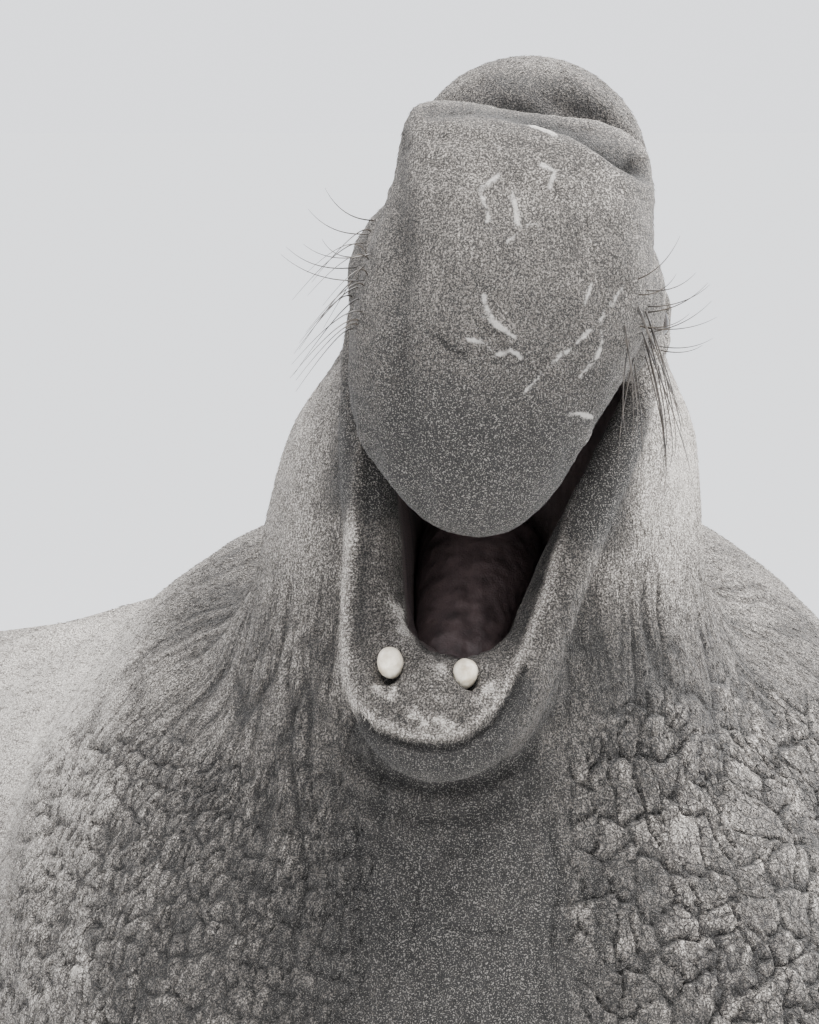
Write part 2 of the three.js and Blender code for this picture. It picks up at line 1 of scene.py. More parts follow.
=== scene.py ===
# A bull elephant seal at life size: chest raised, head thrown back, mouth wide open.
# One skin covers all the flesh. Eyes, teeth, tongue, nails, whiskers and fur are set in it or on it.
import math
import bpy
import numpy as np
from mathutils import Matrix, Vector
from mathutils.bvhtree import BVHTree


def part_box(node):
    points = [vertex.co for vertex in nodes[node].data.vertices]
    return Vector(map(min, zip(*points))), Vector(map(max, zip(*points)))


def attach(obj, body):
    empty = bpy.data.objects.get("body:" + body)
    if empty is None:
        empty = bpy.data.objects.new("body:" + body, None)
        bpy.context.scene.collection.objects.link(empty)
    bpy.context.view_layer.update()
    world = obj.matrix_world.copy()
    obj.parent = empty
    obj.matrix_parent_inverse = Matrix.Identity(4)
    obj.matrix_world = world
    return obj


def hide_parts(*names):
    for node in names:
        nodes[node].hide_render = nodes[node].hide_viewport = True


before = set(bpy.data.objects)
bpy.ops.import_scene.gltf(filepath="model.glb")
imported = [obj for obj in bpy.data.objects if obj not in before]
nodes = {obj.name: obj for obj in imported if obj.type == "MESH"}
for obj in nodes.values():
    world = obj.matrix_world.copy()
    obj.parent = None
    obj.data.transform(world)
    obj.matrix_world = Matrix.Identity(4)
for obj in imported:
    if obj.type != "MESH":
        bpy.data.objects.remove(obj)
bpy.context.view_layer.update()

# Camera
# It stands well in front of the animal, a little above its head, and looks down at the open mouth.
# All places on the animal are measured from the gape, the middle of the open mouth.
GAPE_FROM_TONGUE = Vector((0.0772, 0.1114, 0.2255))
VIEW_FROM_GAPE = Vector((-0.080, 0.0, -0.057))
VIEW_DISTANCE = 7.5
VIEW_TILT = math.radians(3.4)
VIEW_ANGLE = math.radians(7.8)
SENSOR_SIDE = 36.0
tongue_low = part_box("tongue")[0]
gape = tongue_low + GAPE_FROM_TONGUE
view_centre = gape + VIEW_FROM_GAPE
camera_place = view_centre + Vector((0, -VIEW_DISTANCE, VIEW_DISTANCE * math.tan(VIEW_TILT)))
bpy.ops.object.select_all(action="DESELECT")
bpy.ops.object.camera_add(location=camera_place, rotation=(math.pi / 2 - VIEW_TILT, 0, 0))
camera = bpy.context.object
camera.data.lens = SENSOR_SIDE / 2 / math.tan(VIEW_ANGLE / 2)
camera.data.sensor_width = SENSOR_SIDE
camera.data.clip_end = 400
bpy.context.scene.camera = camera

# Floor, light and pale surroundings
# A wide pale floor that runs on to the horizon, under a bright even sky.
# There are two large soft lamps: one high over the gape, and one behind the animal on its left.
SKY_COLOUR = (0.93, 0.95, 1.0)
SKY_STRENGTH = 1.95
FLOOR_RADIUS = 160
FLOOR_GLOW = 0.31
LAMPS = {
    "high_lamp": {"from_gape": Vector((0.9, -0.3, 4.0)), "size": 2.6, "power": 900},
    "back_lamp": {"from_gape": Vector((3.0, 2.5, 2.6)), "size": 2.2, "power": 520},
}


class Signal:
    """A node's output that can be added, subtracted and multiplied in Python."""

    def __init__(self, shader, socket):
        self.shader = shader
        self.socket = socket

    def maths(self, operation, *others):
        return self.shader.node("ShaderNodeMath", {"operation": operation}, [self, *others])

    def __add__(self, other):
        return self.maths("ADD", other)

    def __sub__(self, other):
        return self.maths("SUBTRACT", other)

    def __mul__(self, other):
        return self.maths("MULTIPLY", other)

    def __rsub__(self, other):
        return self.shader.node("ShaderNodeMath", {"operation": "SUBTRACT"}, [other, self])


class Finish:
    """A procedural material, built up from expressions on its own nodes."""

    def __init__(self, name):
        self.material = bpy.data.materials.new(name)
        self.material.use_nodes = True
        self.tree = self.material.node_tree
        self.shader = self.tree.nodes["Principled BSDF"]

    def node(self, kind, settings, inputs, output=0):
        made = self.tree.nodes.new(kind)
        for key, value in settings.items():
            if key == "ramp":
                self.set_ramp(made.color_ramp, value)
            else:
                setattr(made, key, value)
        pairs = inputs.items() if isinstance(inputs, dict) else enumerate(inputs)
        for key, value in pairs:
            self.join(value, made.inputs[key])
        return Signal(self, made.outputs[output])

    def set_ramp(self, ramp, stops):
        while len(ramp.elements) < len(stops):
            ramp.elements.new(1.0)
        for element, (place, value) in zip(ramp.elements, stops):
            element.position = place
            element.color = (*value, 1)

    def join(self, value, socket):
        if isinstance(value, Signal):
            self.tree.links.new(value.socket, socket)
        elif isinstance(value, tuple) and len(value) == 3 and socket.type == "RGBA":
            socket.default_value = (*value, 1)
        else:
            socket.default_value = value

    def set(self, **values):
        for key, value in values.items():
            self.join(value, self.shader.inputs[key.replace("_", " ")])

    def place(self, scale=(1, 1, 1)):
        where = self.node("ShaderNodeTexCoord", {}, [], "Object")
        return self.node("ShaderNodeMapping", {}, {"Vector": where, "Scale": scale})

    def noise(self, where, scale, detail=3.0, roughness=0.55, distortion=0.0):
        inputs = {"Vector": where, "Scale": scale, "Detail": detail, "Roughness": roughness,
                  "Distortion": distortion}
        return self.node("ShaderNodeTexNoise", {}, inputs)

    def warped(self, amount, scale):
        """Object coordinates, pushed about by noise."""
        where = self.place()
        inputs = {"Vector": where, "Scale": scale, "Detail": 2.0}
        shift = self.node("ShaderNodeTexNoise", {}, inputs, "Color")
        centred = self.node("ShaderNodeVectorMath", {"operation": "SUBTRACT"}, [shift, (0.5, 0.5, 0.5)])
        sized = self.node("ShaderNodeVectorMath", {"operation": "SCALE"}, {0: centred, "Scale": amount})
        return self.node("ShaderNodeVectorMath", {"operation": "ADD"}, [where, sized])

    def cells(self, where, scale):
        """How far each place is from the edge of its cell."""
        settings = {"feature": "DISTANCE_TO_EDGE"}
        return self.node("ShaderNodeTexVoronoi", settings, {"Vector": where, "Scale": scale}, "Distance")

    def attribute(self, name):
        return self.node("ShaderNodeAttribute", {"attribute_name": name}, [], "Fac")

    def ramp(self, signal, *stops):
        return self.node("ShaderNodeValToRGB", {"ramp": stops}, [signal])

    def range(self, signal, low, high, to_low=0.0, to_high=1.0):
        inputs = {"Value": signal, "From Min": low, "From Max": high, "To Min": to_low, "To Max": to_high}
        return self.node("ShaderNodeMapRange", {"interpolation_type": "SMOOTHSTEP"}, inputs)

    def blend(self, share, first, second):
        """A mix of two colours. The node's colour inputs are numbers 6 and 7, and its output is 2."""
        settings = {"data_type": "RGBA", "blend_type": "MIX", "clamp_factor": True}
        return self.node("ShaderNodeMix", settings, {0: share, 6: first, 7: second}, 2)

    def bump(self, height, distance, strength=1.0):
        inputs = {"Height": height, "Distance": distance, "Strength": strength}
        return self.node("ShaderNodeBump", {}, inputs)


def add_floor():
    bpy.ops.object.select_all(action="DESELECT")
    bpy.ops.mesh.primitive_circle_add(vertices=96, radius=FLOOR_RADIUS, fill_type="NGON", location=(0, 0, 0))
    floor = bpy.context.object
    floor.name = "floor"
    finish = Finish("pale_floor")
    finish.set(Base_Color=(0.84, 0.84, 0.83), Roughness=0.9)
    finish.set(Emission_Color=SKY_COLOUR, Emission_Strength=FLOOR_GLOW)
    floor.data.materials.append(finish.material)


def add_lamp(name, from_gape, size, power):
    bpy.ops.object.select_all(action="DESELECT")
    place = gape + from_gape
    bpy.ops.object.light_add(type="AREA", location=place)
    lamp = bpy.context.object
    lamp.name = name
    lamp.data.size = size
    lamp.data.energy = power
    lamp.rotation_euler = (gape - place).to_track_quat("-Z", "Y").to_euler()


add_floor()
for lamp_name, values in LAMPS.items():
    add_lamp(lamp_name, **values)
sky = bpy.data.worlds.new("sky")
bpy.context.scene.world = sky
sky.use_nodes = True
sky_light = sky.node_tree.nodes["Background"]
sky_light.inputs["Color"].default_value = (*SKY_COLOUR, 1)
sky_light.inputs["Strength"].default_value = SKY_STRENGTH

# Skin
# Thick hide over blubber, in one piece from the nose to the hind flippers, with short flat fur on it.
# The solids of the flesh are melted into one surface, smoothed, and then folded and cracked by formulas.
FLIPPERS = ["fore_flipper_left", "fore_flipper_right", "hind_flipper_left", "hind_flipper_right"]
FLESH = [
    "head", "proboscis", "whisker_pad_left", "whisker_pad_right", "neck", "lower_jaw", "lips", "chest",
    "trunk", "hindquarters", "tail", *FLIPPERS,
]
SKIN_GRAIN = 0.0075
EVEN_STEPS = 14
BODY_STEPS = 110
HEAD_YAW = math.radians(-5)
HEAD_ROLL = math.radians(8)
head_turn = Matrix.Rotation(HEAD_YAW, 3, "Z") @ Matrix.Rotation(HEAD_ROLL, 3, "Y")


def head_point(r, f, u):
    """A place on the head: r to its left, f forward, u up, from the middle of the gape, in metres."""
    return gape + head_turn @ Vector((r, -f, u))


def in_head(points):
    """The r, f and u of many places at once."""
    local = (points - np.array(gape)) @ np.array(head_turn)
    return local[:, 0], -local[:, 1], local[:, 2]


def points_of(piece):
    flat = np.empty(len(piece.data.vertices) * 3)
    piece.data.vertices.foreach_get("co", flat)
    return flat.reshape(-1, 3)


def normals_of(piece):
    flat = np.empty(len(piece.data.vertices) * 3)
    piece.data.vertices.foreach_get("normal", flat)
    return flat.reshape(-1, 3)


def move_points(piece, points):
    piece.data.vertices.foreach_set("co", points.astype(np.float32).ravel())
    piece.data.update()


def ease(value, low, high):
    """0 at low and 1 at high, with a soft start and end."""
    share = np.clip((value - low) / (high - low), 0, 1)
    return share * share * (3 - 2 * share)


def hill(value, middle, width):
    """1 at the middle, and next to nothing two widths away."""
    return np.exp(-(((value - middle) / width) ** 2))


def modify(piece, kind, **settings):
    bpy.context.view_layer.objects.active = piece
    modifier = piece.modifiers.new(kind.lower(), kind)
    for key, value in settings.items():
        setattr(modifier, key, value)
    bpy.ops.object.modifier_apply(modifier=modifier.name)


def set_weights(piece, name, weights, levels=24):
    """Vertex weights in a few even levels, which is quicker than one vertex at a time."""
    group = piece.vertex_groups.get(name) or piece.vertex_groups.new(name=name)
    steps = np.rint(np.clip(weights, 0, 1) * levels).astype(int)
    for step in range(levels + 1):
        chosen = np.nonzero(steps == step)[0].tolist()
        if chosen:
            group.add(chosen, step / levels, "REPLACE")


def melt(names, name, grain):
    """One closed surface over the solids of these nodes."""
    bpy.ops.object.select_all(action="DESELECT")
    for node_name in names:
        part = bpy.data.objects.new(name, nodes[node_name].data.copy())
        bpy.context.scene.collection.objects.link(part)
        part.select_set(True)
        bpy.context.view_layer.objects.active = part
    bpy.ops.object.join()
    piece = bpy.context.object
    piece.name = name
    piece.data.materials.clear()
    modify(piece, "WELD", merge_threshold=0.00002)
    modify(piece, "REMESH", mode="VOXEL", voxel_size=grain, use_smooth_shade=True)
    return piece


skin = melt(FLESH, "skin", SKIN_GRAIN)
points = points_of(skin)
head_middle = np.array(head_point(0, -0.03, 0))
from_head = np.linalg.norm(points - head_middle, axis=1)
limb = np.zeros(len(points))
for limb_name in FLIPPERS:
    low, high = (np.array(corner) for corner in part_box(limb_name))
    outside = np.maximum(np.maximum(low - points, points - high), 0)
    limb = np.maximum(limb, 1 - ease(np.linalg.norm(outside, axis=1), 0.0, 0.08))
limb *= 1 - ease(points[:, 2], 0.16, 0.28)
body = ease(from_head, 0.40, 0.75) * (1 - limb)
set_weights(skin, "body", body)
modify(skin, "SMOOTH", factor=0.5, iterations=EVEN_STEPS)
modify(skin, "SMOOTH", factor=0.9, iterations=BODY_STEPS, vertex_group="body")


def refine(piece, chosen):
    """Cuts each face whose corners are all chosen in four."""
    bpy.ops.object.select_all(action="DESELECT")
    piece.select_set(True)
    bpy.context.view_layer.objects.active = piece
    bpy.ops.object.mode_set(mode="EDIT")
    bpy.ops.mesh.select_all(action="DESELECT")
    bpy.ops.object.mode_set(mode="OBJECT")
    loops = np.empty(len(piece.data.loops), int)
    piece.data.loops.foreach_get("vertex_index", loops)
    starts = np.empty(len(piece.data.polygons), int)
    piece.data.polygons.foreach_get("loop_start", starts)
    picked = np.minimum.reduceat(chosen[loops].astype(int), starts).astype(bool)
    piece.data.polygons.foreach_set("select", picked)
    bpy.ops.object.mode_set(mode="EDIT")
    bpy.ops.mesh.subdivide(number_cuts=1, smoothness=0)
    bpy.ops.object.mode_set(mode="OBJECT")


# The front of the animal gets a finer mesh for its folds and cracks.
FINE_DEPTH = 0.30
FINE_DROP = 0.62
FINE_SIDE = 0.42
points = points_of(skin)
across, height = points[:, 0] - gape.x, points[:, 2] - gape.z
fine = (points[:, 1] < gape.y + FINE_DEPTH) & (height > -FINE_DROP) & (np.abs(across) < FINE_SIDE)
refine(skin, fine)
points = points_of(skin)
LATTICE_PRIMES = np.array([73856093, 19349663, 83492791])
SEED_PRIME = 15485863
FAR = 9.0


def scatter(cells, seed):
    """A repeatable number from 0 to 1 for each cell of a whole-number lattice."""
    mixed = cells @ LATTICE_PRIMES + seed * SEED_PRIME
    mixed = (mixed ^ (mixed >> 13)) * 1274126177 & 0x7FFFFFFF
    mixed = (mixed ^ (mixed >> 15)) * 2246822519 & 0x7FFFFFFF
    return (mixed >> 8 & 0xFFFF) / 0xFFFF


def ripple(spots, size, seed):
    """Smooth random hills and dips, from -1 to 1, about one size apart."""
    spots = spots / np.array(size)
    base = np.floor(spots).astype(np.int64)
    share = spots - base
    share = share * share * (3 - 2 * share)
    total = np.zeros(len(spots))
    for corner in np.ndindex(2, 2, 2):
        weight = np.prod(np.where(corner, share, 1 - share), axis=1)
        total += weight * scatter(base + np.array(corner), seed)
    return total * 2 - 1


def cobble(spots, size, seed):
    """For a flat sheet of cells: how far each spot is from the crack round its cell.

    Its height in the cell and the cell's own random number come second and third.
    """
    spots = spots / np.array(size)
    base = np.floor(spots).astype(np.int64)
    nearest = np.full(len(spots), FAR)
    second = np.full(len(spots), FAR)
    number = np.zeros(len(spots))
    rise = np.zeros(len(spots))
    for shift in np.ndindex(3, 3):
        cell = np.column_stack([base + np.array(shift) - 1, np.zeros(len(base), np.int64)])
        chance = np.column_stack([scatter(cell, seed), scatter(cell, seed + 1)])
        centre = cell[:, :2] + 0.12 + 0.76 * chance
        gap = np.linalg.norm(spots - centre, axis=1)
        closer = gap < nearest
        second = np.where(closer, nearest, np.minimum(second, gap))
        number = np.where(closer, scatter(cell, seed + 2), number)
        rise = np.where(closer, spots[:, 1] - centre[:, 1], rise)
        nearest = np.minimum(nearest, gap)
    return second - nearest, rise, number


def line_reach(spots, line):
    """How far each flat spot is from a bent line."""
    best = np.full(len(spots), FAR)
    for start, end in zip(line[:-1], line[1:]):
        way = np.subtract(end, start)
        share = np.clip((spots - np.array(start)) @ way / (way @ way), 0, 1)
        best = np.minimum(best, np.linalg.norm(spots - np.array(start) - share[:, None] * way, axis=1))
    return best


r, f, u = in_head(points)
across, height = points[:, 0] - gape.x, points[:, 2] - gape.z
depth = points[:, 1] - gape.y
normals = normals_of(skin)
front = ease(-normals[:, 1], -0.1, 0.35)
# Where each point shows on an upright plane through the gape, seen from the camera.
camera_gap = gape.y - camera_place.y
toward = camera_gap / (camera_gap + depth)
front_spots = np.column_stack([
    (across + gape.x - camera_place.x) * toward + camera_place.x - gape.x,
    (height + gape.z - camera_place.z) * toward + camera_place.z - gape.z,
])
seen_across, seen_height = front_spots.T


def mark_line(line, width):
    """1 along a bent line on the front, and 0 beside it.

    The line's places are across and up from the gape, as they look from the camera.
    """
    return hill(line_reach(front_spots, line), 0, width) * front


def shrunk(line, centre, share):
    """The same line, drawn in towards a centre."""
    return [(centre[0] + (x - centre[0]) * share, centre[1] + (y - centre[1]) * share) for x, y in line]


def raised(line, rise):
    """The same line, moved up."""
    return [(x, y + rise) for x, y in line]


# The nose: a deep crease under the hump, a groove beside the whisker pad, soft lumps and old scars.
on_nose = ease(f, 0.03, 0.07) * ease(u, -0.09, -0.05) * ease(-u, -0.46, -0.40)
NOSE_CREASE = [
    (-0.060, 0.344), (-0.024, 0.349), (0.013, 0.347), (0.054, 0.338), (0.085, 0.330), (0.113, 0.314),
    (0.135, 0.300), (0.162, 0.284),
]
NOSE_GROOVE = [(-0.092, 0.310), (-0.090, 0.20), (-0.090, 0.10), (-0.086, 0.02), (-0.070, -0.04)]
NOSE_DENT = [(0.030, 0.060), (0.080, 0.105), (0.130, 0.165)]
crease = mark_line(NOSE_CREASE, 0.0085) * on_nose * (0.35 + 0.65 * ease(across, -0.02, 0.05))
hump_foot = mark_line(raised(NOSE_CREASE, 0.017), 0.015) * on_nose * ease(across, 0.02, 0.09)
# A band on the hump's face just above the crease. It carries only painted shade, where the hump overhangs
# the crease.
hump_face_shade = mark_line(raised(NOSE_CREASE, 0.024), 0.024) * on_nose * ease(across, -0.06, 0.02)
groove = mark_line(NOSE_GROOVE, 0.013) * on_nose * ease(f, 0.09, 0.14)
dent = mark_line(NOSE_DENT, 0.016) * on_nose
lumps = ripple(points, 0.060, 11) * 0.0032 + ripple(points, 0.022, 12) * 0.0012
fold_spots = np.column_stack([across, depth, height + 0.2 * across])
top_folds = ripple(fold_spots, (0.05, 0.05, 0.0085), 13) * ease(height, 0.20, 0.30)
pad_knobs = ripple(points, 0.011, 14) * ease(np.abs(r), 0.09, 0.12)
pad_knobs = pad_knobs * ease(u, 0.08, 0.12) * ease(-u, -0.26, -0.2)
nose_pits = ripple(points, 0.0075, 15)
CREASE_DEPTH = 0.018
HUMP_FOOT_DEPTH = 0.020
GROOVE_DEPTH = 0.006
DENT_DEPTH = 0.004
lift = -CREASE_DEPTH * crease - HUMP_FOOT_DEPTH * hump_foot - GROOVE_DEPTH * groove - DENT_DEPTH * dent
lift += (lumps + 0.0012 * top_folds) * on_nose
lift += (0.0007 * nose_pits + 0.0010 * pad_knobs) * on_nose
SCARS = [
    [(0.004, 0.312), (0.010, 0.303)],
    [(0.010, 0.280), (-0.010, 0.264), (-0.004, 0.248), (0.001, 0.228)],
    [(0.023, 0.262), (0.027, 0.240), (0.029, 0.225)],
    [(0.018, 0.212), (0.034, 0.228), (0.046, 0.232), (0.050, 0.224)],
    [(-0.005, 0.158), (-0.003, 0.145), (0.010, 0.128), (0.029, 0.114)],
    [(-0.006, 0.140), (0.006, 0.130), (0.024, 0.120)],
    [(-0.022, 0.116), (-0.004, 0.112), (0.006, 0.100), (0.024, 0.104), (0.030, 0.098)],
    [
        (0.035, 0.062), (0.050, 0.078), (0.068, 0.096), (0.086, 0.110), (0.104, 0.126), (0.120, 0.146),
        (0.134, 0.168),
    ],
    [(0.094, 0.150), (0.102, 0.172)],
    [(0.112, 0.126), (0.110, 0.106), (0.100, 0.088), (0.092, 0.080)],
    [(0.074, 0.040), (0.090, 0.042), (0.102, 0.038)],
    [(0.080, 0.018), (0.100, 0.014)],
    [(0.040, 0.330), (0.060, 0.322), (0.074, 0.310)],
    [(0.052, 0.290), (0.066, 0.282), (0.060, 0.268)],
]
DARK_SCRATCH = [(-0.054, 0.120), (-0.038, 0.106), (-0.024, 0.100)]
SCAR_WIDTH = 0.0034
SCAR_RISE = 0.0017
SCRATCH_DEPTH = 0.002
scar = np.zeros(len(points))
for line in SCARS:
    scar = np.maximum(scar, mark_line(line, SCAR_WIDTH))
scar *= on_nose * (0.75 + 0.45 * ripple(points, 0.012, 16))
scratch = mark_line(DARK_SCRATCH, 0.003) * on_nose
lift += SCAR_RISE * scar - SCRATCH_DEPTH * scratch

# The lower lip and chin: a thin furry rim round the mouth, a rough gum and a sharp crease across the chin.
LIP_RIM = [
    (-0.128, 0.020), (-0.136, -0.065), (-0.142, -0.125), (-0.145, -0.180), (-0.142, -0.226),
    (-0.132, -0.250), (-0.113, -0.268), (-0.086, -0.279), (-0.055, -0.282), (-0.025, -0.276),
    (0.002, -0.254), (0.018, -0.232), (0.033, -0.200), (0.048, -0.160), (0.060, -0.123),
    (0.071, -0.084), (0.084, -0.040), (0.100, 0.020),
]
MOUTH_MIDDLE = (-0.03, -0.10)
CHIN_CREASE = [
    (-0.130, -0.262), (-0.117, -0.279), (-0.080, -0.291), (-0.055, -0.294), (-0.036, -0.294),
    (-0.020, -0.288), (0.004, -0.271), (0.022, -0.243), (0.034, -0.215),
]
GUM_EDGE = [
    (-0.092, -0.150), (-0.086, -0.172), (-0.070, -0.184), (-0.044, -0.191), (-0.020, -0.188),
    (0.002, -0.170),
]
GUM_MIDDLE = (-0.052, -0.230)
GUM_HALF = (0.066, 0.044)
RIM_RISE = 0.0036
INNER_BAND_DEPTH = 0.0030
CHIN_CUT_DEPTH = 0.0065
CHIN_ROLL_RISE = 0.0030
CRUST_RISE = 0.0024
GUM_RISE = 0.0022
CRUSTS = [
    [(-0.114, -0.234), (-0.100, -0.242), (-0.094, -0.236)],
    [(-0.014, -0.246), (-0.004, -0.238), (0.002, -0.230)],
    [(-0.080, -0.256), (-0.066, -0.270), (-0.052, -0.264), (-0.040, -0.272)],
    [(-0.060, -0.205), (-0.048, -0.215)],
]
on_lip = ease(f, 0.04, 0.08)
on_chin = ease(f, 0.08, 0.13)
rim = mark_line(LIP_RIM, 0.0062) * on_lip
inner_band = mark_line(shrunk(LIP_RIM, MOUTH_MIDDLE, 0.88), 0.008) * on_lip
inner_band *= 1 - ease(-seen_height, 0.17, 0.22)
chin_cut = mark_line(CHIN_CREASE, 0.0034) * on_chin
chin_roll = mark_line(raised(CHIN_CREASE, -0.017), 0.011) * on_chin
crust = mark_line(GUM_EDGE, 0.0075) * ease(ripple(points, 0.012, 17), -0.6, 0.1)
for line in CRUSTS:
    crust = np.maximum(crust, 0.9 * mark_line(line, 0.0045) * ease(ripple(points, 0.006, 19), -0.6, 0.2))
crust *= on_lip
gum_across = (seen_across - GUM_MIDDLE[0]) / GUM_HALF[0]
gum_height = (seen_height - GUM_MIDDLE[1]) / GUM_HALF[1]
gum = np.exp(-gum_across ** 4 - gum_height ** 4) * on_chin
gum_bumps = ripple(points, 0.0080, 18) + 0.6 * ripple(points, 0.018, 20)
lip_lift = RIM_RISE * rim - INNER_BAND_DEPTH * inner_band
lift += lip_lift - CHIN_CUT_DEPTH * chin_cut + CHIN_ROLL_RISE * chin_roll
lift += CRUST_RISE * crust + GUM_RISE * gum * gum_bumps

# The throat: three soft folds under the chin, each fainter than the one above it.
THROAT_FOLDS = [
    [(-0.150, -0.285), (-0.12, -0.315), (-0.06, -0.334), (0.0, -0.326), (0.040, -0.300)],
    [(-0.165, -0.320), (-0.12, -0.350), (-0.06, -0.366), (0.0, -0.360), (0.060, -0.330)],
    [(-0.150, -0.378), (-0.08, -0.394), (0.0, -0.390), (0.060, -0.372)],
]
on_throat = front * ease(-f, -0.17, -0.13) * ease(-height, 0.27, 0.30)
FOLD_STRENGTHS = (1.0, 0.6, 0.3)
THROAT_CUT_DEPTH = 0.0065
throat_cut = np.zeros(len(points))
for line, strength in zip(THROAT_FOLDS, FOLD_STRENGTHS):
    throat_cut = np.maximum(throat_cut, strength * mark_line(line, 0.0075) * on_throat)
lift -= THROAT_CUT_DEPTH * throat_cut

# The neck: fine upright wrinkles on its front and sides, and the cracked shield on each side of the throat.
# It is laid out as a flat sheet round an upright axis, and the plates are cells of that sheet.
NECK_AXIS = 0.10
NECK_RADIUS = 0.27
PLATE_SIZE = (0.030, 0.044)
MID_PLATE_SIZE = (0.0145, 0.0200)
SCALE_SIZE = (0.0105, 0.026)
CRACK_DEPTH = 0.0052
MID_CRACK_DEPTH = 0.0026
SCALE_CRACK_DEPTH = 0.0034
WRINKLE_DEPTH = 0.0016
BIG_WRINKLE_DEPTH = 0.0036
LONG_CRACK_DEPTH = 0.0045
arc = np.arctan2(across, NECK_AXIS - depth) * NECK_RADIUS
on_neck = ease(-height, 0.06, 0.20) * (1 - ease(f, 0.13, 0.17) * ease(height, -0.345, -0.30))
ragged_depth = depth + 0.10 * ripple(points, 0.11, 38) + 0.03 * ripple(points, 0.03, 39)
on_neck *= 1 - ease(ragged_depth, 0.20, 0.52)
sheet = np.column_stack([arc, height])
warp = np.column_stack([ripple(points, 0.09, 21), ripple(points, 0.09, 22)]) * 0.020
warp += np.column_stack([ripple(points, 0.030, 23), ripple(points, 0.030, 24)]) * 0.008
warp += np.column_stack([ripple(points, 0.010, 25), ripple(points, 0.010, 26)]) * 0.0025
thread = np.column_stack([arc + 0.7 * warp[:, 0], height, np.zeros(len(arc))])
wrinkle = ease(1 - np.abs(ripple(thread, (0.010, 0.075, 1), 31)), 0.66, 1.0)
big_wrinkle = ease(1 - np.abs(ripple(thread, (0.030, 0.16, 1), 32)), 0.80, 1.0)
centre = hill(across, -0.02, 0.075) * ease(-height, 0.28, 0.36)
patches = 0.45 * ripple(points, 0.060, 33) + 0.22 * ripple(points, 0.022, 34)
right_shield = ease(across, 0.035, 0.13) * ease(-height, 0.18, 0.30)
side_shield = ease(-across, 0.20, 0.30) * ease(-height, 0.36, 0.56)
shield = ease(np.maximum(right_shield, 0.70 * side_shield) + patches, 0.20, 1.0) * on_neck
scales = ease(ease(-across, 0.07, 0.15) * ease(-height, 0.20, 0.40) + patches, 0.25, 0.75) * on_neck
scales *= 1 - shield
edge, rise, number = cobble(sheet + warp * 1.5, PLATE_SIZE, 41)
mid_edge, mid_rise = cobble(sheet + warp * 1.1, MID_PLATE_SIZE, 46)[:2]
scale_edge, scale_rise = cobble(sheet + warp * 0.8, SCALE_SIZE, 51)[:2]
crack = (1 - ease(edge, 0.0, 0.15)) * shield
mid_crack = (1 - ease(mid_edge, 0.0, 0.22)) * shield * ease(number, 0.25, 0.55)
scale_crack = (1 - ease(scale_edge, 0.0, 0.30)) * scales
lift += -CRACK_DEPTH * crack - MID_CRACK_DEPTH * mid_crack - SCALE_CRACK_DEPTH * scale_crack
plate_lift = shield * (0.0016 * (number - 0.5) + 0.0030 * rise + 0.0016 * mid_rise)
lift += plate_lift + scales * 0.0018 * scale_rise
edge_scurf = hill(edge, 0.26, 0.12) * shield * ease(ripple(points, 0.014, 35), -0.1, 0.5)
scurf = np.maximum(edge_scurf, ease(ripple(points, 0.020, 36), 0.35, 0.7) * shield)
bare = on_neck * (1 - 0.8 * shield) * (1 - 0.6 * scales)
streak = wrinkle * bare * (1 - 0.65 * centre)
big_streak = big_wrinkle * bare * (1 - centre)
lift += -WRINKLE_DEPTH * streak - BIG_WRINKLE_DEPTH * big_streak
LONG_CRACKS = [
    [(0.060, -0.385), (0.072, -0.43), (0.066, -0.50), (0.078, -0.57), (0.075, -0.66)],
    [(0.102, -0.395), (0.112, -0.47), (0.108, -0.55), (0.128, -0.64)],
    [(-0.040, -0.478), (-0.01, -0.484), (0.022, -0.480)],
    [(-0.195, -0.20), (-0.200, -0.30), (-0.188, -0.42), (-0.200, -0.55)],
]
long_crack = np.zeros(len(points))
for line in LONG_CRACKS:
    reach = line_reach(front_spots + warp * 0.5, line)
    long_crack = np.maximum(long_crack, hill(reach, 0, 0.0030) * front * on_neck)
long_crack *= 0.65 + 0.35 * ripple(points, 0.05, 37)
lift -= LONG_CRACK_DEPTH * long_crack

# The back and flanks: broad soft rolls of hide behind the neck, which fade towards the tail.
ROLL_SPACING = 0.21
ROLL_RISE = 0.008
lean = depth - 0.9 * height
roll = np.sin(lean * 2 * math.pi / ROLL_SPACING + 1.6 * ripple(points, 0.40, 61))
from_head = np.linalg.norm(points - head_middle, axis=1)
on_back = ease(from_head, 0.45, 0.75) * (1 - ease(lean, 1.5, 2.4))
on_back *= ease(points[:, 2], 0.35, 0.65) * ease(lean, 0.45, 0.70)
lift += ROLL_RISE * roll * on_back * ease(normals[:, 2] + 0.35, 0, 0.5)
hide = ripple(points, 0.030, 71) * 0.0010 + ripple(points, 0.080, 72) * 0.0025
lift += hide * ease(from_head, 0.30, 0.5)

